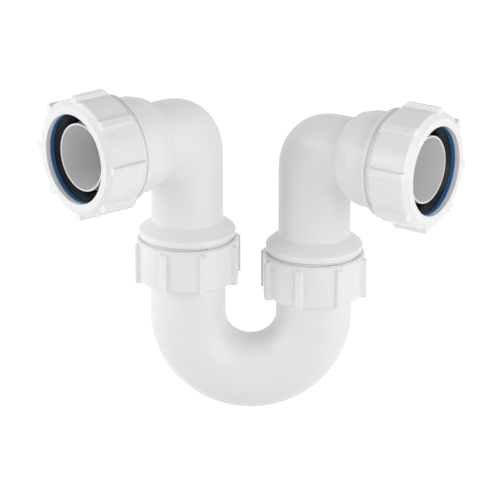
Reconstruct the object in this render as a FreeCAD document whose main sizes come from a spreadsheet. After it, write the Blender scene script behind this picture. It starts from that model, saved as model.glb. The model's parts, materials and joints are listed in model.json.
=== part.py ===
import FreeCAD, Part
import os
import math
from types import SimpleNamespace

import Sketcher
from FreeCAD import Placement, Rotation, Vector

# A running P trap for a 43 mm waste pipe: a U bend with a longer inlet leg, hung under
# two equal elbows by ribbed coupling nuts. Each elbow ends in a compression joint for
# the pipe. Millimetres, +Z up. The U lies in the XZ plane. The origin is the inlet's mouth.

# Driving dimensions: name, value, what it measures.
SIZES = [
    ("leg_distance", 73.0, "between the axes of the two upright legs"),
    ("inlet_rise", 9.2, "inlet leg and its elbow stand this much above the outlet's"),
    ("arm_height", 100.3, "outlet arm's axis above the centre of the U bend"),
    ("inlet_swing", 40.2, "degrees the inlet arm is swung forward out of the U plane"),
    ("outlet_swing", 34.1, "degrees the outlet arm is swung forward out of the U plane"),
    ("face_gap", 0.2, "running gap between faces that bear on each other"),
    ("thread_gap", 0.35, "radial gap left where a fine thread runs"),
    # waste pipe that both ends take
    ("pipe_radius", 21.5, "outside of the waste pipe"),
    ("pipe_wall", 2.0, "wall of the waste pipe"),
    ("pipe_clearance", 0.4, "radial gap between pipe and socket"),
    ("liner_clearance", 0.3, "radial gap between the thin tube and the inside of the pipe"),
    # U bend
    ("bend_bore", 19.4, "inside radius of the U bend's tube"),
    ("bend_wall", 2.6, "wall of the U bend"),
    ("flange_inset", 0.3, "flange's edge inside the outside of the tail"),
    ("flange_thickness", 3.0, "flange that the coupling nut pulls up, along the leg"),
    ("spigot_rise", 9.0, "leg above its flange, up inside the elbow's tail"),
    ("spigot_clearance", 1.3, "radial gap between that end of the leg and the tail"),
    # coupling nuts
    ("coupling_base", 12.5, "underside of the outlet's coupling nut above the bend centre"),
    ("coupling_height", 24.8, "coupling nut, underside to rim"),
    ("coupling_floor", 3.5, "inward lip under the coupling nut"),
    ("coupling_wall", 2.65, "wall of the coupling nut between its ribs"),
    ("coupling_rib_height", 2.3, "rib of the coupling nut, out from its wall"),
    ("coupling_rib_width", 3.3, "crest of that rib"),
    ("coupling_rim", 1.9, "plain rim above the ribs"),
    ("coupling_ribs", 8, "ribs round a coupling nut"),
    ("inlet_coupling_turn", 23.2, "degrees the inlet coupling nut is turned"),
    ("outlet_coupling_turn", 16.3, "degrees the outlet coupling nut is turned"),
    ("leg_clearance", 0.4, "radial gap between a leg and the lip round it"),
    # washers
    ("washer_thickness", 2.0, "flat washer between flange and tail"),
    # elbow, lower end
    ("tail_wall", 3.0, "wall of the threaded tail"),
    ("collar_gap", 2.0, "from the coupling nut's rim up to the collar"),
    ("collar_rise", 1.6, "collar above the tail's thread, out from the tail"),
    ("collar_height", 3.2, "upright edge of the collar"),
    ("flare_height", 5.7, "slope from the collar in to the tube"),
    ("tail_depth_margin", 6.0, "tube's full bore starts this far under the flare's top"),
    # elbow, tube and turn
    ("tube_wall", 2.5, "wall of the elbow's tube"),
    ("turn_radius", 32.0, "radius of the elbow's outer corner, on the outside"),
    ("turn_inner_radius", 3.7, "radius of the elbow's inner corner, on the outside"),
    # elbow, pipe socket
    ("neck_length", 1.0, "plain tube between the turn and the socket's shoulder"),
    ("shoulder_length", 5.0, "steep part of the shoulder, along the arm"),
    ("shoulder_step", 2.0, "steep part ends this far inside the socket's outside"),
    ("taper_length", 7.5, "slow part of the shoulder, along the arm"),
    ("socket_length", 12.0, "socket from its shoulder to the bead behind the nut"),
    ("socket_wall", 5.6, "wall of the socket round the pipe"),
    ("bead_width", 1.6, "bead, along the arm"),
    ("bead_rise", 1.0, "bead, out from the threaded mouth"),
    ("mouth_length", 18.8, "threaded mouth, from the bead to its end face"),
    ("mouth_rim", 3.0, "wall of the mouth round the wide end of the seal's seat"),
    ("pipe_stop_depth", 3.5, "from the shoulder's steep part to the face that stops the pipe"),
    ("liner_wall", 0.9, "thin tube that the pipe slides over"),
    ("liner_reach", 4.2, "thin tube beyond the socket's end face"),
    ("seat_depth", 6.8, "tapered seat for the seal, in from the end face"),
    ("seat_step", 2.5, "floor of the seat, out from the pipe's bore"),
    ("seat_spread", 2.6, "seat's wide end, out from its floor"),
    # seal and slip ring
    ("seal_gap", 0.15, "gap between the seal and its seat"),
    ("seal_head", 3.8, "head of the seal outside the socket"),
    ("seal_head_inset", 0.8, "edge of that head inside the outside of the thread"),
    ("seal_cone_depth", 3.2, "lead-in cone at the front of the seal"),
    ("seal_cone_spread", 3.0, "lead-in cone at its front, out from the pipe's bore"),
    ("slip_thickness", 2.3, "slip ring, along the arm"),
    ("slip_step", 3.3, "bore of the slip ring, out from the pipe's bore"),
    # compression nuts
    ("nut_length", 25.1, "compression nut, back to front"),
    ("nut_wall", 2.85, "wall of the nut between its ribs"),
    ("nut_front_wall", 3.0, "wall that pushes the slip ring"),
    ("nut_mouth_step", 3.5, "hole in the front wall, out from the pipe's bore"),
    ("nut_back_chamfer", 1.8, "chamfer round the back of the nut"),
    ("nut_cone_length", 2.0, "cone round the front face, along the nut"),
    ("nut_cone_fall", 2.9, "front face's edge inside the outside of the nut"),
    ("nut_rib_start", 0.6, "back of the nut to its ribs"),
    ("nut_rib_stop", 1.5, "front of the nut to its ribs"),
    ("nut_rib_height", 2.6, "rib, out from the wall"),
    ("nut_rib_width", 4.0, "crest of the rib"),
    ("nut_ribs", 8, "ribs round a compression nut"),
    ("inlet_nut_turn", 1.0, "degrees the inlet nut is turned"),
    ("outlet_nut_turn", 36.5, "degrees the outlet nut is turned"),
    ("rib_flank", 1.0, "how far a rib's foot spreads beyond its crest, each side"),
    ("rib_root", 2.0, "rib's root sunk in the nut's wall"),
    ("rib_end_chamfer", 0.9, "slope at the outer ends of the ribs"),
    ("rib_back_slope", 2.6, "slope at the back ends of a compression nut's ribs"),
    ("cut_margin", 1.0, "how far a cutting outline reaches past what it cuts"),
    ("edge_round", 1.0, "radius on moulded outer edges"),
    ("shoulder_round", 2.0, "radius along the socket's shoulder"),
]

doc = FreeCAD.newDocument("running_p_trap")
sheet = doc.addObject("Spreadsheet::Sheet", "Sizes")
for row, (alias, value, meaning) in enumerate(SIZES, start=1):
    sheet.set(f"A{row}", meaning)
    sheet.set(f"B{row}", str(value))
    sheet.setAlias(f"B{row}", alias)
doc.recompute()


class Size:
    """A length with its value now and the sheet expression that gives it."""

    def __init__(self, value, text):
        self.value = value
        self.text = text

    def __add__(self, other):
        other = as_size(other)
        return Size(self.value + other.value, f"({self.text} + {other.text})")

    def __sub__(self, other):
        other = as_size(other)
        return Size(self.value - other.value, f"({self.text} - {other.text})")

    def __mul__(self, other):
        other = as_size(other)
        return Size(self.value * other.value, f"({self.text} * {other.text})")

    def __neg__(self):
        return Size(-self.value, f"(0 - {self.text})")


def as_size(number):
    """A plain number as a Size."""
    return number if isinstance(number, Size) else Size(float(number), str(number))


def root(size):
    """The square root of a Size."""
    return Size(math.sqrt(size.value), f"sqrt({size.text})")


def bind(target, field, size):
    """Give a property its value and tie it to the sheet."""
    target.setExpression(field, size.text)


dim = SimpleNamespace(
    **{alias: Size(float(sheet.get(alias)), "Sizes." + alias) for alias, _, _ in SIZES}
)
ORIGIN = -1  # the sketch's origin and horizontal axis
UPRIGHT = -2  # the sketch's vertical axis
START = 1
END = 2
CENTRE = 3

# Angles of the sections that an elbow's turn is lofted through.
TURN_ANGLES = (0, 15, 30, 45, 60, 75, 90)
STRAIGHT_ANGLE = 15  # up to here the outside is still straight tube

# Radii, each from the pipe outward or from the leg outward.
pipe_bore = dim.pipe_radius + dim.pipe_clearance
liner_radius = dim.pipe_radius - dim.pipe_wall - dim.liner_clearance
tube_bore = liner_radius - dim.liner_wall
tube_radius = tube_bore + dim.tube_wall
socket_radius = pipe_bore + dim.socket_wall
shoulder_radius = socket_radius - dim.shoulder_step
seat_floor = pipe_bore + dim.seat_step
seat_mouth = seat_floor + dim.seat_spread
thread_radius = seat_mouth + dim.mouth_rim
bead_radius = thread_radius + dim.bead_rise
nut_bore = thread_radius + dim.thread_gap
nut_radius = nut_bore + dim.nut_wall
nut_face_radius = nut_radius - dim.nut_cone_fall
bend_radius = dim.bend_bore + dim.bend_wall
lip_bore = bend_radius + dim.leg_clearance
tail_bore = bend_radius + dim.spigot_clearance
tail_radius = tail_bore + dim.tail_wall
flange_radius = tail_radius - dim.flange_inset
collar_radius = tail_radius + dim.collar_rise
coupling_bore = tail_radius + dim.thread_gap
coupling_radius = coupling_bore + dim.coupling_wall

# Levels on the outlet leg, above the centre of the U bend.
flange_base = dim.coupling_base + dim.coupling_floor + dim.face_gap
flange_top = flange_base + dim.flange_thickness
washer_base = flange_top + dim.face_gap
tail_end = washer_base + dim.washer_thickness + dim.face_gap
spigot_top = flange_top + dim.spigot_rise
coupling_top = dim.coupling_base + dim.coupling_height
collar_base = coupling_top + dim.collar_gap
collar_top = collar_base + dim.collar_height
flare_top = collar_top + dim.flare_height
turn_reach = tube_radius + dim.turn_inner_radius
turn_level = dim.arm_height - turn_reach

# Stations along an arm, from the leg's axis.
neck_end = turn_reach + dim.neck_length
shoulder_end = neck_end + dim.shoulder_length
pipe_stop = shoulder_end + dim.pipe_stop_depth
taper_end = shoulder_end + dim.taper_length
bead_back = taper_end + dim.socket_length
bead_front = bead_back + dim.bead_width
mouth_place = bead_front + dim.mouth_length
seat_end = mouth_place - dim.seat_depth
liner_end = mouth_place + dim.liner_reach
seal_head_back = mouth_place + dim.face_gap
seal_front = seal_head_back + dim.seal_head
slip_back = seal_front + dim.face_gap
slip_front = slip_back + dim.slip_thickness
nut_front = slip_front + dim.face_gap + dim.nut_front_wall
nut_back = nut_front - dim.nut_length


def new_body(name):
    """A body whose label names its file."""
    body = doc.addObject("PartDesign::Body", name)
    body.Label = name
    return body


def new_sketch(body, name, role, across=None, up=None, out=None, tilt=0.0):
    """A sketch on one of the body's origin planes, shifted, then tilted about its Y axis."""
    sketch = body.newObject("Sketcher::SketchObject", name)
    plane = [f for f in body.Origin.OriginFeatures if f.Role == role][0]
    sketch.AttachmentSupport = [(plane, "")]
    sketch.MapMode = "FlatFace"
    sketch.AttachmentOffset = Placement(Vector(), Rotation(Vector(0, 1, 0), tilt))
    for letter, shift in (("x", across), ("y", up), ("z", out)):
        if shift is not None:
            bind(sketch, f"AttachmentOffset.Base.{letter}", shift)
    return sketch


def hold_point(sketch, curve, end, across, up):
    """Fix a point of a sketch at two distances from the sketch's origin."""
    for kind, axis, size in (("DistanceX", UPRIGHT, across), ("DistanceY", ORIGIN, up)):
        if size.text == "0":
            sketch.addConstraint(Sketcher.Constraint("PointOnObject", curve, end, axis))
        else:
            index = sketch.addConstraint(
                Sketcher.Constraint(kind, ORIGIN, START, curve, end, size.value)
            )
            bind(sketch, f"Constraints[{index}]", size)


def outline(sketch, corners):
    """Draw a closed outline of straight lines through corners held by the sheet."""
    corners = [(as_size(across), as_size(up)) for across, up in corners]
    points = [Vector(across.value, up.value, 0) for across, up in corners]
    for here, there in zip(points, points[1:] + points[:1]):
        sketch.addGeometry(Part.LineSegment(here, there), False)
    count = len(points)
    for index in range(count):
        following = (index + 1) % count
        sketch.addConstraint(Sketcher.Constraint("Coincident", index, END, following, START))
    for index, (across, up) in enumerate(corners):
        hold_point(sketch, index, START, across, up)


def circle(sketch, across, radius):
    """Draw a circle centred on the sketch's horizontal axis."""
    across = as_size(across)
    place = Vector(across.value, 0, 0)
    index = sketch.addGeometry(Part.Circle(place, Vector(0, 0, 1), radius.value), False)
    hold_point(sketch, index, CENTRE, across, as_size(0))
    held = sketch.addConstraint(Sketcher.Constraint("Radius", index, radius.value))
    bind(sketch, f"Constraints[{held}]", radius)


def ellipse(sketch, near, far, half_width):
    """Draw an ellipse on the horizontal axis, between two distances left of the origin."""
    middle = (near + far) * 0.5
    half = (far - near) * 0.5
    centre = Vector(-middle.value, 0, 0)
    tip = centre + Vector(half.value, 0, 0)
    side = centre + Vector(0, half_width.value, 0)
    index = sketch.addGeometry(Part.Ellipse(tip, side, centre), False)
    sketch.exposeInternalGeometry(index)
    long_axis, short_axis = index + 1, index + 2
    sketch.addConstraint(Sketcher.Constraint("Horizontal", long_axis))
    hold_point(sketch, index, CENTRE, -middle, as_size(0))
    for line, size in ((long_axis, half * 2), (short_axis, half_width * 2)):
        held = sketch.addConstraint(Sketcher.Constraint("Distance", line, size.value))
        bind(sketch, f"Constraints[{held}]", size)


def turned(body, name, sketch, axis="V_Axis", angle=360.0, cut=False, reverse=False):
    """Revolve a sketch about one of its axes, to add or to cut."""
    kind = "PartDesign::Groove" if cut else "PartDesign::Revolution"
    feature = body.newObject(kind, name)
    feature.Profile = sketch
    feature.ReferenceAxis = (sketch, [axis])
    feature.Angle = angle
    feature.Reversed = reverse
    doc.recompute()
    return feature


def lofted(body, name, sketches, cut=False):
    """Loft through sketches, to add or to cut."""
    kind = "PartDesign::SubtractiveLoft" if cut else "PartDesign::AdditiveLoft"
    feature = body.newObject(kind, name)
    feature.Profile = sketches[0]
    feature.Sections = sketches[1:]
    doc.recompute()
    return feature


def padded(body, name, sketch, length):
    """Pad a sketch by a length of the sheet."""
    feature = body.newObject("PartDesign::Pad", name)
    feature.Profile = sketch
    bind(feature, "Length", length)
    doc.recompute()
    return feature


def around(body, name, feature, copies):
    """Repeat a feature round the body's upright axis."""
    pattern = body.newObject("PartDesign::PolarPattern", name)
    pattern.Originals = [feature]
    axis = [f for f in body.Origin.OriginFeatures if f.Role == "Z_Axis"][0]
    pattern.Axis = (axis, [""])
    pattern.Angle = 360.0
    bind(pattern, "Occurrences", copies)
    body.Tip = pattern
    doc.recompute()
    return pattern


def ring_edges(shape, rings):
    """Names of the whole circular edges with the given radii and centres."""
    names = []
    for number, edge in enumerate(shape.Edges, start=1):
        for radius, centre in rings:
            near = (edge.CenterOfMass - centre).Length < 1e-3
            if near and abs(edge.Length - 2 * math.pi * radius.value) < 1e-3:
                names.append(f"Edge{number}")
    return names


def rounded(body, name, radius, rings):
    """Round the circular edges found by radius and centre."""
    base = body.Tip
    feature = body.newObject("PartDesign::Fillet", name)
    feature.Base = (base, ring_edges(base.Shape, rings))
    bind(feature, "Radius", radius)
    doc.recompute()
    return feature


def make_u_bend(name):
    """The U tube: half a turn of tube, and two legs each with a flange and a spigot."""
    body = new_body(name)
    half = dim.leg_distance * 0.5
    sketch = new_sketch(body, name + "_section", "XY_Plane")
    circle(sketch, half, bend_radius)
    circle(sketch, half, dim.bend_bore)
    turned(body, name + "_turn", sketch, angle=180.0)
    for leg, across, rise in (
        ("inlet", -half, dim.inlet_rise),
        ("outlet", half, as_size(0)),
    ):
        sketch = new_sketch(body, f"{name}_{leg}_leg_outline", "XZ_Plane", across=across)
        outline(
            sketch,
            [
                (dim.bend_bore, 0),
                (bend_radius, 0),
                (bend_radius, rise + flange_base),
                (flange_radius, rise + flange_base),
                (flange_radius, rise + flange_top),
                (bend_radius, rise + flange_top),
                (bend_radius, rise + spigot_top),
                (dim.bend_bore, rise + spigot_top),
            ],
        )
        turned(body, f"{name}_{leg}_leg", sketch)
    return body


def add_turn(body, name, wall, cut=False):
    """Loft a tight quarter turn through sections that fan out from its inner corner.

    A wall of 0 gives the outside. The full wall gives the bore inside it.
    """
    half_width = tube_radius - wall
    near = dim.turn_inner_radius + wall
    far = near + half_width * 2
    corner = dim.turn_radius - wall
    offset = far - corner  # outer corner's centre from the fan's, across and up
    sketches = []
    for angle in TURN_ANGLES:
        sketch = new_sketch(
            body,
            f"{name}_section_{angle}",
            "XY_Plane",
            across=turn_reach,
            out=turn_level,
            tilt=angle,
        )
        slant = math.radians(angle)
        if angle in (0, 90):
            circle(sketch, -turn_reach, half_width)
        elif min(angle, 90 - angle) <= STRAIGHT_ANGLE:
            ellipse(sketch, near, far * (1 / max(math.cos(slant), math.sin(slant))), half_width)
        else:
            along = offset * (math.cos(slant) + math.sin(slant))
            aside = offset * offset * (1 - math.sin(2 * slant))
            ellipse(sketch, near, along + root(corner * corner - aside), half_width)
        sketches.append(sketch)
    lofted(body, name, sketches, cut=cut)


def make_elbow(name):
    """One moulding: threaded tail, collar, tube with a tight turn, and pipe socket."""
    body = new_body(name)
    sketch = new_sketch(body, name + "_leg_outline", "XZ_Plane")
    outline(
        sketch,
        [
            (0, tail_end),
            (tail_radius, tail_end),
            (tail_radius, collar_base),
            (collar_radius, collar_base),
            (collar_radius, collar_top),
            (tube_radius, flare_top),
            (tube_radius, turn_level),
            (0, turn_level),
        ],
    )
    turned(body, name + "_leg", sketch)
    add_turn(body, name + "_turn", as_size(0))
    sketch = new_sketch(body, name + "_arm_outline", "XZ_Plane", up=dim.arm_height)
    outline(
        sketch,
        [
            (turn_reach, 0),
            (turn_reach, tube_radius),
            (neck_end, tube_radius),
            (shoulder_end, shoulder_radius),
            (taper_end, socket_radius),
            (bead_back, socket_radius),
            (bead_back, bead_radius),
            (bead_front, bead_radius),
            (bead_front, thread_radius),
            (mouth_place, thread_radius),
            (mouth_place, seat_mouth),
            (seat_end, seat_floor),
            (seat_end, pipe_bore),
            (pipe_stop, pipe_bore),
            (pipe_stop, liner_radius),
            (liner_end, liner_radius),
            (liner_end, 0),
        ],
    )
    turned(body, name + "_arm", sketch, axis="H_Axis")
    axis = Vector(0, 0, dim.arm_height.value)
    along = Vector(1, 0, 0)
    rounded(
        body,
        name + "_shoulder_rounds",
        dim.shoulder_round,
        [
            (tube_radius, axis + along * neck_end.value),
            (shoulder_radius, axis + along * shoulder_end.value),
        ],
    )
    rounded(
        body,
        name + "_collar_rounds",
        dim.edge_round,
        [
            (collar_radius, Vector(0, 0, collar_top.value)),
            (tube_radius, Vector(0, 0, flare_top.value)),
        ],
    )
    # the waterway: tail and tube, turn, then out through the arm
    sketch = new_sketch(body, name + "_leg_bore_outline", "XZ_Plane")
    outline(
        sketch,
        [
            (0, tail_end),
            (tail_bore, tail_end),
            (tail_bore, flare_top - dim.tail_depth_margin),
            (tube_bore, flare_top),
            (tube_bore, turn_level),
            (0, turn_level),
        ],
    )
    turned(body, name + "_leg_bore", sketch, cut=True)
    add_turn(body, name + "_turn_bore", dim.tube_wall, cut=True)
    sketch = new_sketch(body, name + "_arm_bore_outline", "XZ_Plane", up=dim.arm_height)
    outline(
        sketch,
        [
            (turn_reach, 0),
            (turn_reach, tube_bore),
            (liner_end, tube_bore),
            (liner_end, 0),
        ],
    )
    turned(body, name + "_arm_bore", sketch, axis="H_Axis", cut=True)
    return body


def add_ribs(body, name, start, end, wall, height, width, copies, back_slope=None):
    """Ribs along a nut: one trapezoid padded and repeated, its ends sloped by grooves."""
    sketch = new_sketch(body, name + "_rib_section", "XY_Plane", out=start)
    crest = width * 0.5
    foot = crest + dim.rib_flank
    buried = wall - dim.rib_root
    top = wall + height
    outline(sketch, [(buried, -foot), (top, -crest), (top, crest), (buried, foot)])
    rib = padded(body, name + "_rib", sketch, end - start)
    around(body, name + "_ribs", rib, copies)
    outside = top + dim.cut_margin
    chamfer = dim.rib_end_chamfer
    slopes = [("front", top - chamfer, end, end - chamfer, end + dim.cut_margin)]
    if back_slope is not None:
        inside = top - back_slope
        slopes.append(("back", inside, start, start + back_slope, start - dim.cut_margin))
    for which, inside, level, crest_level, beyond in slopes:
        sketch = new_sketch(body, f"{name}_rib_{which}_ends", "XZ_Plane")
        outline(
            sketch,
            [
                (inside, beyond),
                (inside, level),
                (top, crest_level),
                (outside, crest_level),
                (outside, beyond),
            ],
        )
        turned(body, f"{name}_rib_{which}_slopes", sketch, cut=True)


def make_coupling_nut(name):
    """A ribbed nut with a lip under it that lifts the U bend's flange."""
    body = new_body(name)
    sketch = new_sketch(body, name + "_outline", "XZ_Plane")
    outline(
        sketch,
        [
            (lip_bore, 0),
            (coupling_radius - dim.edge_round, 0),
            (coupling_radius, dim.edge_round),
            (coupling_radius, dim.coupling_height - dim.edge_round),
            (coupling_radius - dim.edge_round, dim.coupling_height),
            (coupling_bore, dim.coupling_height),
            (coupling_bore, dim.coupling_floor),
            (lip_bore, dim.coupling_floor),
        ],
    )
    turned(body, name + "_shell", sketch)
    add_ribs(
        body,
        name,
        as_size(0),
        dim.coupling_height - dim.coupling_rim,
        coupling_radius,
        dim.coupling_rib_height,
        dim.coupling_rib_width,
        dim.coupling_ribs,
    )
    return body


def make_compression_nut(name):
    """A ribbed nut whose front narrows to a wall round the pipe's hole."""
    body = new_body(name)
    front = dim.nut_length
    inner_face = front - dim.nut_front_wall
    face_edge = front - dim.edge_round * 0.5
    cone_start = face_edge - dim.nut_cone_length
    mouth_radius = pipe_bore + dim.nut_mouth_step
    sketch = new_sketch(body, name + "_outline", "XZ_Plane")
    outline(
        sketch,
        [
            (nut_bore, 0),
            (nut_radius - dim.nut_back_chamfer, 0),
            (nut_radius, dim.nut_back_chamfer),
            (nut_radius, cone_start),
            (nut_face_radius, face_edge),
            (nut_face_radius - dim.edge_round * 0.5, front),
            (mouth_radius, front),
            (mouth_radius, inner_face),
            (nut_bore, inner_face),
        ],
    )
    turned(body, name + "_shell", sketch)
    add_ribs(
        body,
        name,
        dim.nut_rib_start,
        front - dim.nut_rib_stop,
        nut_radius,
        dim.nut_rib_height,
        dim.nut_rib_width,
        dim.nut_ribs,
        back_slope=dim.rib_back_slope,
    )
    return body


def make_washer(name):
    """The flat sealing washer round the spigot."""
    body = new_body(name)
    sketch = new_sketch(body, name + "_outline", "XZ_Plane")
    outline(
        sketch,
        [
            (lip_bore, 0),
            (flange_radius, 0),
            (flange_radius, dim.washer_thickness),
            (lip_bore, dim.washer_thickness),
        ],
    )
    turned(body, name + "_ring", sketch)
    return body


def make_seal(name):
    """The rubber seal: a tapered ring in the seat, with a head on the socket's end face."""
    body = new_body(name)
    floor = seat_end + dim.seal_gap
    head_radius = thread_radius - dim.seal_head_inset
    sketch = new_sketch(body, name + "_outline", "XZ_Plane")
    outline(
        sketch,
        [
            (pipe_bore, floor),
            (seat_floor - dim.seal_gap, floor),
            (seat_mouth - dim.seal_gap, seal_head_back - dim.face_gap),
            (seat_mouth - dim.seal_gap, seal_head_back),
            (head_radius, seal_head_back),
            (head_radius, seal_front),
            (pipe_bore + dim.seal_cone_spread, seal_front),
            (pipe_bore, seal_front - dim.seal_cone_depth),
        ],
    )
    turned(body, name + "_ring", sketch)
    return body


def make_slip_ring(name):
    """The hard ring that lets the nut turn without dragging the seal round."""
    body = new_body(name)
    bore = pipe_bore + dim.slip_step
    sketch = new_sketch(body, name + "_outline", "XZ_Plane")
    outline(
        sketch,
        [
            (bore, 0),
            (thread_radius, 0),
            (thread_radius, dim.slip_thickness),
            (bore, dim.slip_thickness),
        ],
    )
    turned(body, name + "_ring", sketch)
    return body


# Places: a leg's frame has its X axis along its arm and its origin on the leg's axis, level
# with the bend's centre for the outlet and above it by inlet_rise for the inlet. An arm's
# frame has its Z axis out along the arm, for what was turned about Z.
def leg_frame(side):
    """Placement of the inlet (-1) or outlet (+1) leg in the U's frame."""
    if side < 0:
        turn, rise = 180.0 + dim.inlet_swing.value, dim.inlet_rise.value
    else:
        turn, rise = -dim.outlet_swing.value, 0.0
    return Placement(
        Vector(side * dim.leg_distance.value / 2, 0, rise), Rotation(Vector(0, 0, 1), turn)
    )


def on_arm(station, turn=0.0):
    """Placement on an arm, in its leg's frame, turned about the arm."""
    out_along_arm = Rotation(Vector(0, 1, 0), 90)
    about_arm = Rotation(Vector(0, 0, 1), turn)
    return Placement(
        Vector(station, 0, dim.arm_height.value), out_along_arm.multiply(about_arm)
    )


def on_leg(level, turn=0.0):
    """Placement on a leg, in its leg's frame, turned about the leg."""
    return Placement(Vector(0, 0, level), Rotation(Vector(0, 0, 1), turn))


inlet_leg = leg_frame(-1)
outlet_leg = leg_frame(+1)
inlet_mouth = inlet_leg.multVec(Vector(liner_end.value, 0, dim.arm_height.value))
to_origin = Placement(-inlet_mouth, Rotation())

parts = [(make_u_bend("u_bend"), Placement())]
for prefix, leg, coupling_turn, nut_turn in (
    ("inlet", inlet_leg, dim.inlet_coupling_turn, dim.inlet_nut_turn),
    ("outlet", outlet_leg, dim.outlet_coupling_turn, dim.outlet_nut_turn),
):
    places = [
        (make_elbow(f"{prefix}_elbow"), Placement()),
        (
            make_coupling_nut(f"{prefix}_coupling_nut"),
            on_leg(dim.coupling_base.value, coupling_turn.value),
        ),
        (make_washer(f"{prefix}_washer"), on_leg(washer_base.value)),
        (make_seal(f"{prefix}_seal"), on_arm(0.0)),
        (make_slip_ring(f"{prefix}_slip_ring"), on_arm(slip_back.value)),
        (make_compression_nut(f"{prefix}_nut"), on_arm(nut_back.value, nut_turn.value)),
    ]
    parts += [(body, leg.multiply(place)) for body, place in places]

for body, place in parts:
    body.Placement = to_origin.multiply(place)
doc.recompute()

for thing in doc.Objects:
    if "Invalid" in thing.State or "Error" in thing.State:
        raise RuntimeError(f"{thing.Label} did not build: {thing.State}")
for body, _ in parts:
    shape = body.Shape
    if shape.isNull() or not shape.isValid() or len(shape.Solids) != 1:
        raise RuntimeError(f"{body.Label} is not one valid solid")

os.makedirs("parts", exist_ok=True)
for body, _ in parts:
    body.Shape.exportStep(os.path.join("parts", body.Label + ".step"))
    print(body.Label, round(body.Shape.Volume / 1000, 2), "cm3")
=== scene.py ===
"""The running P trap's looks: plastic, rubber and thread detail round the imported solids.

Metres, in the same frame as the solids: the origin is the inlet's mouth and +Z is up.
"""

import json
import math

import bmesh
import bpy
from mathutils import Matrix, Vector


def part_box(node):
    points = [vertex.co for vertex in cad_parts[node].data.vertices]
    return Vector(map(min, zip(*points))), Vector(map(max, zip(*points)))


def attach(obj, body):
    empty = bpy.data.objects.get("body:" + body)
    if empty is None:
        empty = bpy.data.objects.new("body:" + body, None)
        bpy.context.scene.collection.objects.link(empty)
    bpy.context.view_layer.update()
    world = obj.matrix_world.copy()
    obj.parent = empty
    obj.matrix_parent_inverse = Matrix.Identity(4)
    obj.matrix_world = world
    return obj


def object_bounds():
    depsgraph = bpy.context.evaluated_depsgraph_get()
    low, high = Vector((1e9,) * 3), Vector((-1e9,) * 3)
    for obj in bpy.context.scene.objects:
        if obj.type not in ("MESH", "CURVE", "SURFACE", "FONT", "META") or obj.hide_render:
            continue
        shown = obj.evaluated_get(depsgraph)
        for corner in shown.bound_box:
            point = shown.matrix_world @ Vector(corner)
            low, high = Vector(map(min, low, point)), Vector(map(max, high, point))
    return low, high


bl_info = {
    "name": "Running P trap",
    "version": (1, 0, 0),
    "blender": (4, 5, 0),
    "location": "View3D > Sidebar > Running trap",
    "description": "Finishes a running P trap: plastics, rubber, threads and a studio",
    "category": "Object",
}

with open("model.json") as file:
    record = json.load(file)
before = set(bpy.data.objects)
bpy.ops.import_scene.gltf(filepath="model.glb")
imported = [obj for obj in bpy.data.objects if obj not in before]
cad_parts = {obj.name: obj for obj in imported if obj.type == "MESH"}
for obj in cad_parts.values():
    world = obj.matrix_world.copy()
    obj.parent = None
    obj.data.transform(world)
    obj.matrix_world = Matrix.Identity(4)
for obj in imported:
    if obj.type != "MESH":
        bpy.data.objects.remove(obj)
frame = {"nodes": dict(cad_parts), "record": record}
CAD_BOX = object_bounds()

MM = 0.001
SIDES = ("inlet", "outlet")

ARM_HEIGHT = 109.5 * MM  # the inlet arm's axis above the centre of the U bend

# A thread's section, in pitches, and how it is spun.
THREAD_ROOT = 0.6
THREAD_CREST = 0.2
THREAD_STEPS = 72  # sections in one turn
THREAD_SUNK = 0.15 * MM  # depth of its root in the wall that carries it

# Where the screw threads run on the elbows, as in the solids.
TAIL_RADIUS = 26.3 * MM
MOUTH_RADIUS = 30.0 * MM
COLLAR_GAP = 2.0 * MM  # from the coupling nut's rim up to the collar
LINER_REACH = 4.2 * MM  # from the threaded mouth's face to the thin tube's end
MOUTH_LENGTH = 18.8 * MM

# The finishes. A patch of noise is about as wide as 1 m divided by its scale. Each material's
# roughness stays on one side of 0.27, because the denoiser draws patches where it crosses it.
NOISE_LOW = 0.2
NOISE_HIGH = 0.8
PLASTIC_DRIFT = 28.0
PLASTIC_DARKER = 0.98
PLASTIC_ROUGHNESS = 0.32
NUT_ROUGHNESS = 0.22
SLIP_RING_ROUGHNESS = 0.3
PLASTIC_GLOSS = 60.0
PLASTIC_SMOOTHER = 0.02  # how far the roughness falls below its middle value
PLASTIC_ROUGHER = 0.04  # how far it rises above it
PLASTIC_PEEL = 420.0
PLASTIC_PEEL_DETAIL = 2.0
PLASTIC_PEEL_DEPTH = 0.02 * MM
PLASTIC_IOR = 1.49
PLASTIC_GLOW = 0.2  # share of light that passes under the surface
PLASTIC_GLOW_REACH = 4 * MM
RUBBER_DRIFT = 90.0
RUBBER_PALER = 1.6
RUBBER_GLOSS = 140.0
RUBBER_ROUGHNESS = (0.14, 0.24)
RUBBER_GRAIN = 900.0
RUBBER_GRAIN_DEPTH = 0.01 * MM
RUBBER_SHINE = 0.15

# The studio. A lamp has a name, degrees to the right of the camera, degrees up, its reach
# from the part's middle, its side and its watts.
LAMPS = (
    ("left_box", -80.0, 15.0, 0.9, 0.65, 3.5),
    ("right_box", 42.0, 15.0, 0.9, 0.7, 3.0),
    ("side_box", 88.0, 15.0, 0.9, 0.65, 0.8),
    ("top_box", 180.0, 75.0, 1.2, 0.9, 0.6),
)
SURROUND = 0.42  # strength of the world on the part
BACKDROP = 1.0  # strength of the world where it is seen
FLOOR_GLOW = 0.625  # lifts the paper to white where it is seen
FLOOR_ROUGHNESS = 0.9
FLOOR_HALF_SIDE = 12.0
WHITE = (1, 1, 1, 1)

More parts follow.
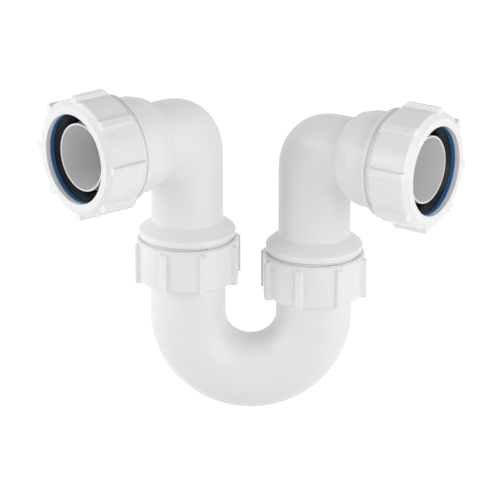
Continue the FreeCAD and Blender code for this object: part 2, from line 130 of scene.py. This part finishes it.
# The camera as fitted to the photograph, which is 500 pixels wide.
PHOTO_PIXELS = 500
FOCAL_PIXELS = 2752
SENSOR_WIDTH = 36.0
CAMERA_AZIMUTH = math.radians(0.0)
CAMERA_ELEVATION = math.radians(20.0)
CAMERA_DISTANCE = 1.600
CAMERA_ASIDE = -0.00046
CAMERA_ABOVE = 0.03547
CAMERA_NEAR = 0.1
CAMERA_FAR = 50.0


def node(name):
    """The object of a CAD node."""
    return frame["nodes"][name]


def joint(name):
    """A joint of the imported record."""
    return [j for j in frame["record"]["behaviour"]["joints"] if j["name"] == name][0]


def mount(name):
    """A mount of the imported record."""
    return [m for m in frame["record"]["mounts"] if m["name"] == name][0]


def leg_axis(side):
    """A point on a leg's axis."""
    return Vector(joint(side + "_coupling_nut_turn")["pos_m"])


def arm_axis(side):
    """An arm's mouth and its outward direction."""
    found = mount(side)
    return Vector(found["pos_m"]), Vector(found["axis"]).normalized()


def bend_centre():
    """The centre of the U bend: midway between the legs, straight under the arms' level."""
    middle = (leg_axis("inlet") + leg_axis("outlet")) / 2
    mouth, _ = arm_axis("inlet")
    return Vector((middle.x, middle.y, mouth.z - ARM_HEIGHT))


class TRAP_PG_colours(bpy.types.PropertyGroup):
    """Colours of the trap's materials."""

    white: bpy.props.FloatVectorProperty(
        name="White plastic",
        description="Base colour of the moulded white plastic",
        subtype="COLOR",
        size=3,
        min=0.0,
        max=1.0,
        default=(0.902, 0.91, 0.918),
    )
    nut_white: bpy.props.FloatVectorProperty(
        name="Nut plastic",
        description="Base colour of the ribbed nuts",
        subtype="COLOR",
        size=3,
        min=0.0,
        max=1.0,
        default=(0.902, 0.91, 0.918),
    )
    blue: bpy.props.FloatVectorProperty(
        name="Blue plastic",
        description="Base colour of the slip rings",
        subtype="COLOR",
        size=3,
        min=0.0,
        max=1.0,
        default=(0.04, 0.17, 0.44),
    )
    rubber: bpy.props.FloatVectorProperty(
        name="Rubber",
        description="Base colour of the seals and washers",
        subtype="COLOR",
        size=3,
        min=0.0,
        max=1.0,
        default=(0.006, 0.007, 0.009),
    )
    floor: bpy.props.FloatVectorProperty(
        name="Floor",
        description="Colour of the floor and backdrop",
        subtype="COLOR",
        size=3,
        min=0.0,
        max=1.0,
        default=(0.9, 0.9, 0.9),
    )


class TRAP_PG_sizes(bpy.types.PropertyGroup):
    """Sizes of the detail that is added to the solids."""

    pitch: bpy.props.FloatProperty(
        name="Thread pitch",
        description="Distance from one thread crest to the next",
        subtype="DISTANCE",
        unit="LENGTH",
        min=1 * MM,
        default=4 * MM,
    )
    crest: bpy.props.FloatProperty(
        name="Thread crest",
        description="Height of a thread above the plain wall that carries it",
        subtype="DISTANCE",
        unit="LENGTH",
        min=0.05 * MM,
        default=0.28 * MM,
    )
    drop: bpy.props.FloatProperty(
        name="Floor drop",
        description="How far the floor lies under the U bend",
        subtype="DISTANCE",
        unit="LENGTH",
        min=0.0,
        default=0.06,
    )


# ---- materials


def new_material(name):
    """A node material, its node tree and its shader."""
    material = bpy.data.materials.new(name)
    material.use_nodes = True
    tree = material.node_tree
    shader = tree.nodes["Principled BSDF"]
    return material, tree, shader


def mottle(tree, scale, low, high, detail=3.0):
    """Soft noise on Object coordinates, remapped between two values."""
    place = tree.nodes.new("ShaderNodeTexCoord")
    noise = tree.nodes.new("ShaderNodeTexNoise")
    noise.inputs["Scale"].default_value = scale
    noise.inputs["Detail"].default_value = detail
    remap = tree.nodes.new("ShaderNodeMapRange")
    remap.interpolation_type = "SMOOTHSTEP"
    remap.inputs["From Min"].default_value = NOISE_LOW
    remap.inputs["From Max"].default_value = NOISE_HIGH
    remap.inputs["To Min"].default_value = low
    remap.inputs["To Max"].default_value = high
    tree.links.new(place.outputs["Object"], noise.inputs["Vector"])
    tree.links.new(noise.outputs["Fac"], remap.inputs["Value"])
    return remap.outputs["Result"], noise.outputs["Fac"]


def tinted(tree, shader, colour, factor, depth):
    """Let the base colour drift to depth times its value where factor is high."""
    mix = tree.nodes.new("ShaderNodeMix")
    mix.data_type = "RGBA"
    mix.inputs["A"].default_value = (*colour, 1.0)
    mix.inputs["B"].default_value = (*[c * depth for c in colour], 1.0)
    tree.links.new(factor, mix.inputs["Factor"])
    tree.links.new(mix.outputs["Result"], shader.inputs["Base Color"])


def bumped(tree, shader, height, distance):
    """Drive the shader's normal from a height."""
    bump = tree.nodes.new("ShaderNodeBump")
    bump.inputs["Distance"].default_value = distance
    tree.links.new(height, bump.inputs["Height"])
    tree.links.new(bump.outputs["Normal"], shader.inputs["Normal"])


def moulded_plastic(name, colour, roughness=PLASTIC_ROUGHNESS):
    """Injection moulded polypropylene: a soft gloss over a very fine orange peel."""
    material, tree, shader = new_material(name)
    drift, _ = mottle(tree, PLASTIC_DRIFT, 0.0, 1.0)
    tinted(tree, shader, colour, drift, PLASTIC_DARKER)
    smooth, rough = roughness - PLASTIC_SMOOTHER, roughness + PLASTIC_ROUGHER
    gloss, _ = mottle(tree, PLASTIC_GLOSS, smooth, rough)
    tree.links.new(gloss, shader.inputs["Roughness"])
    _, peel = mottle(tree, PLASTIC_PEEL, 0.0, 1.0, detail=PLASTIC_PEEL_DETAIL)
    bumped(tree, shader, peel, PLASTIC_PEEL_DEPTH)
    shader.inputs["IOR"].default_value = PLASTIC_IOR
    shader.inputs["Subsurface Weight"].default_value = PLASTIC_GLOW
    shader.inputs["Subsurface Radius"].default_value = [PLASTIC_GLOW_REACH] * 3
    shader.inputs["Subsurface Scale"].default_value = 1.0
    return material


def seal_rubber(name, colour):
    """Black moulded rubber with a waxy gloss."""
    material, tree, shader = new_material(name)
    drift, _ = mottle(tree, RUBBER_DRIFT, 0.0, 1.0)
    tinted(tree, shader, colour, drift, RUBBER_PALER)
    gloss, _ = mottle(tree, RUBBER_GLOSS, *RUBBER_ROUGHNESS)
    tree.links.new(gloss, shader.inputs["Roughness"])
    _, grain = mottle(tree, RUBBER_GRAIN, 0.0, 1.0)
    bumped(tree, shader, grain, RUBBER_GRAIN_DEPTH)
    shader.inputs["Specular IOR Level"].default_value = RUBBER_SHINE
    return material


def seen_rays(tree):
    """1 for the rays that show the backdrop: the camera's, and those that gloss or glass sends."""
    path = tree.nodes.new("ShaderNodeLightPath")
    total = path.outputs["Is Camera Ray"]
    for kind in ("Is Glossy Ray", "Is Transmission Ray"):
        add = tree.nodes.new("ShaderNodeMath")
        add.operation = "ADD"
        add.use_clamp = True
        tree.links.new(total, add.inputs[0])
        tree.links.new(path.outputs[kind], add.inputs[1])
        total = add.outputs[0]
    return total


def dress(target, material):
    """Give an object one material."""
    target.data.materials.clear()
    target.data.materials.append(material)


# ---- mesh pieces


def helical_thread(name, place, direction, radius, length, body):
    """A screw thread's crest, run along a plain wall: a small section spun up a helix."""
    sizes = bpy.context.scene.trap_sizes
    turns = (length - sizes.pitch * THREAD_ROOT) / sizes.pitch
    steps = int(turns * THREAD_STEPS)
    sunk = radius - THREAD_SUNK
    half_root = sizes.pitch * THREAD_ROOT / 2
    half_crest = sizes.pitch * THREAD_CREST / 2
    mesh = bmesh.new()
    corners = [
        (sunk, 0.0),
        (radius + sizes.crest, half_root - half_crest),
        (radius + sizes.crest, half_root + half_crest),
        (sunk, 2 * half_root),
    ]
    ring = [mesh.verts.new((across, 0.0, up)) for across, up in corners]
    edges = [mesh.edges.new((here, there)) for here, there in zip(ring, ring[1:] + ring[:1])]
    bmesh.ops.spin(
        mesh,
        geom=[*ring, *edges],
        cent=(0, 0, 0),
        axis=(0, 0, 1),
        dvec=(0, 0, turns * sizes.pitch / steps),
        angle=2 * math.pi * turns,
        steps=steps,
        use_merge=False,
        use_duplicate=False,
    )
    bmesh.ops.holes_fill(mesh, edges=[e for e in mesh.edges if e.is_boundary], sides=4)
    bmesh.ops.recalc_face_normals(mesh, faces=mesh.faces)
    return finished(name, mesh, place, direction, body)


def finished(name, mesh, place, direction, body):
    """Turn a mesh made about Z to a direction, set it in place and let it ride on a body."""
    turn = Vector((0, 0, 1)).rotation_difference(direction).to_matrix().to_4x4()
    bmesh.ops.transform(mesh, matrix=Matrix.Translation(place) @ turn, verts=mesh.verts)
    data = bpy.data.meshes.new(name)
    mesh.to_mesh(data)
    mesh.free()
    data.shade_smooth()
    made = bpy.data.objects.new(name, data)
    bpy.context.scene.collection.objects.link(made)
    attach(made, body)
    return made


class TRAP_OT_mouldings(bpy.types.Operator):
    """Finish the U bend and the two elbows in white plastic"""

    bl_idname = "trap.mouldings"
    bl_label = "White mouldings"

    def execute(self, context):
        colours = context.scene.trap_colours
        white = moulded_plastic("white_moulding", tuple(colours.white))
        for name in ("u_bend", "inlet_elbow", "outlet_elbow"):
            dress(node(name), white)
        return {"FINISHED"}


class TRAP_OT_threads(bpy.types.Operator):
    """Run the screw threads up the elbows' tails and along their mouths"""

    bl_idname = "trap.threads"
    bl_label = "Screw threads"

    def execute(self, context):
        colours = context.scene.trap_colours
        white = moulded_plastic("thread_moulding", tuple(colours.white))
        upward = Vector((0, 0, 1))
        for side in SIDES:
            elbow = side + "_elbow"
            axis = leg_axis(side)
            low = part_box(elbow)[0][2]
            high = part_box(side + "_coupling_nut")[1][2] + COLLAR_GAP
            foot = Vector((axis.x, axis.y, low))
            tail = helical_thread(
                side + "_tail_thread", foot, upward, TAIL_RADIUS, high - low, elbow
            )
            dress(tail, white)
            liner, outward = arm_axis(side)
            foot = liner - outward * (LINER_REACH + MOUTH_LENGTH)
            mouth = helical_thread(
                side + "_mouth_thread", foot, outward, MOUTH_RADIUS, MOUTH_LENGTH, elbow
            )
            dress(mouth, white)
        return {"FINISHED"}


class TRAP_OT_nuts(bpy.types.Operator):
    """Finish the four ribbed nuts in white plastic"""

    bl_idname = "trap.nuts"
    bl_label = "Ribbed nuts"

    def execute(self, context):
        colours = context.scene.trap_colours
        white = moulded_plastic("nut_moulding", tuple(colours.nut_white), NUT_ROUGHNESS)
        for side in SIDES:
            dress(node(side + "_coupling_nut"), white)
            dress(node(side + "_nut"), white)
        return {"FINISHED"}


class TRAP_OT_rings(bpy.types.Operator):
    """Finish the blue slip rings, the black seals and the washers"""

    bl_idname = "trap.rings"
    bl_label = "Slip rings, seals and washers"

    def execute(self, context):
        colours = context.scene.trap_colours
        blue = moulded_plastic("slip_ring_blue", tuple(colours.blue), SLIP_RING_ROUGHNESS)
        rubber = seal_rubber("seal_rubber", tuple(colours.rubber))
        for side in SIDES:
            dress(node(side + "_slip_ring"), blue)
            dress(node(side + "_seal"), rubber)
            dress(node(side + "_washer"), rubber)
        return {"FINISHED"}


class TRAP_OT_stage(bpy.types.Operator):
    """Set the floor, the lamps, the world and the camera"""

    bl_idname = "trap.stage"
    bl_label = "Studio"

    def execute(self, context):
        scene = context.scene
        make_floor(scene)
        make_lamps(scene)
        make_world(scene)
        make_camera(scene)
        scene.view_settings.view_transform = "Standard"
        return {"FINISHED"}


def make_floor(scene):
    """A wide pale floor that keeps the shadow and shows white beyond it."""
    low = CAD_BOX[0][2] - scene.trap_sizes.drop
    mesh = bmesh.new()
    bmesh.ops.create_grid(mesh, x_segments=2, y_segments=2, size=FLOOR_HALF_SIDE)
    bmesh.ops.translate(mesh, vec=(0, 0, low), verts=mesh.verts)
    data = bpy.data.meshes.new("floor")
    mesh.to_mesh(data)
    mesh.free()
    floor = bpy.data.objects.new("floor", data)
    scene.collection.objects.link(floor)
    material, tree, shader = new_material("floor_paper")
    shader.inputs["Base Color"].default_value = (*scene.trap_colours.floor, 1.0)
    shader.inputs["Roughness"].default_value = FLOOR_ROUGHNESS
    shader.inputs["Specular IOR Level"].default_value = 0.0
    glow = tree.nodes.new("ShaderNodeEmission")
    glow.inputs["Color"].default_value = WHITE
    lift = tree.nodes.new("ShaderNodeMath")
    lift.operation = "MULTIPLY"
    lift.inputs[1].default_value = FLOOR_GLOW
    both = tree.nodes.new("ShaderNodeAddShader")
    tree.links.new(seen_rays(tree), lift.inputs[0])
    tree.links.new(lift.outputs[0], glow.inputs["Strength"])
    tree.links.new(shader.outputs[0], both.inputs[0])
    tree.links.new(glow.outputs[0], both.inputs[1])
    tree.links.new(both.outputs[0], tree.nodes["Material Output"].inputs["Surface"])
    dress(floor, material)


def make_lamps(scene):
    """Soft boxes: left, front right, a weaker one at the right side and one overhead."""
    centre = (Vector(CAD_BOX[0]) + Vector(CAD_BOX[1])) / 2
    for name, around, up, reach, size, power in LAMPS:
        lamp = bpy.data.lights.new(name, "AREA")
        lamp.shape = "SQUARE"
        lamp.size = size
        lamp.energy = power
        made = bpy.data.objects.new(name, lamp)
        turn = math.radians(around) + CAMERA_AZIMUTH
        rise = math.radians(up)
        away = Vector(
            (math.sin(turn) * math.cos(rise), -math.cos(turn) * math.cos(rise), math.sin(rise))
        )
        made.location = centre + away * reach
        made.rotation_euler = away.to_track_quat("Z", "Y").to_euler()
        scene.collection.objects.link(made)


def make_world(scene):
    """An even pale surround, shown white behind the object."""
    world = bpy.data.worlds.new("studio")
    world.use_nodes = True
    tree = world.node_tree
    surround = tree.nodes["Background"]
    surround.inputs["Color"].default_value = WHITE
    surround.inputs["Strength"].default_value = SURROUND
    backdrop = tree.nodes.new("ShaderNodeBackground")
    backdrop.inputs["Color"].default_value = WHITE
    backdrop.inputs["Strength"].default_value = BACKDROP
    mix = tree.nodes.new("ShaderNodeMixShader")
    tree.links.new(seen_rays(tree), mix.inputs["Fac"])
    tree.links.new(surround.outputs[0], mix.inputs[1])
    tree.links.new(backdrop.outputs[0], mix.inputs[2])
    tree.links.new(mix.outputs[0], tree.nodes["World Output"].inputs["Surface"])
    scene.world = world


def make_camera(scene):
    """The camera at the photograph's angle and distance."""
    flat, rise = CAMERA_AZIMUTH, CAMERA_ELEVATION
    back = Vector(
        (math.sin(flat) * math.cos(rise), -math.cos(flat) * math.cos(rise), math.sin(rise))
    )
    aside = Vector((math.cos(flat), math.sin(flat), 0))
    above = back.cross(aside)
    lens = bpy.data.cameras.new("camera")
    lens.sensor_width = SENSOR_WIDTH
    lens.lens = SENSOR_WIDTH * FOCAL_PIXELS / PHOTO_PIXELS
    lens.clip_start = CAMERA_NEAR
    lens.clip_end = CAMERA_FAR
    camera = bpy.data.objects.new("camera", lens)
    camera.location = (
        bend_centre() + aside * CAMERA_ASIDE + above * CAMERA_ABOVE + back * CAMERA_DISTANCE
    )
    camera.rotation_euler = back.to_track_quat("Z", "Y").to_euler()
    scene.collection.objects.link(camera)
    scene.camera = camera


class TRAP_PT_panel(bpy.types.Panel):
    """Lists the steps and the sizes in the sidebar"""

    bl_label = "Running P trap"
    bl_idname = "TRAP_PT_panel"
    bl_space_type = "VIEW_3D"
    bl_region_type = "UI"
    bl_category = "Running trap"

    def draw(self, context):
        layout = self.layout
        for group in (context.scene.trap_colours, context.scene.trap_sizes):
            for field in group.bl_rna.properties:
                if field.identifier not in ("name", "rna_type"):
                    layout.prop(group, field.identifier)
        for step in STEPS:
            layout.operator(step.bl_idname)


STEPS = (TRAP_OT_mouldings, TRAP_OT_threads, TRAP_OT_nuts, TRAP_OT_rings, TRAP_OT_stage)
CLASSES = (TRAP_PG_colours, TRAP_PG_sizes, *STEPS, TRAP_PT_panel)


def register():
    for cls in CLASSES:
        bpy.utils.register_class(cls)
    bpy.types.Scene.trap_colours = bpy.props.PointerProperty(type=TRAP_PG_colours)
    bpy.types.Scene.trap_sizes = bpy.props.PointerProperty(type=TRAP_PG_sizes)


def unregister():
    del bpy.types.Scene.trap_sizes
    del bpy.types.Scene.trap_colours
    for cls in reversed(CLASSES):
        bpy.utils.unregister_class(cls)


def main():
    """Register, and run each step."""
    register()
    bpy.ops.trap.mouldings()
    bpy.ops.trap.threads()
    bpy.ops.trap.nuts()
    bpy.ops.trap.rings()
    bpy.ops.trap.stage()


if __name__ == "__main__":
    main()
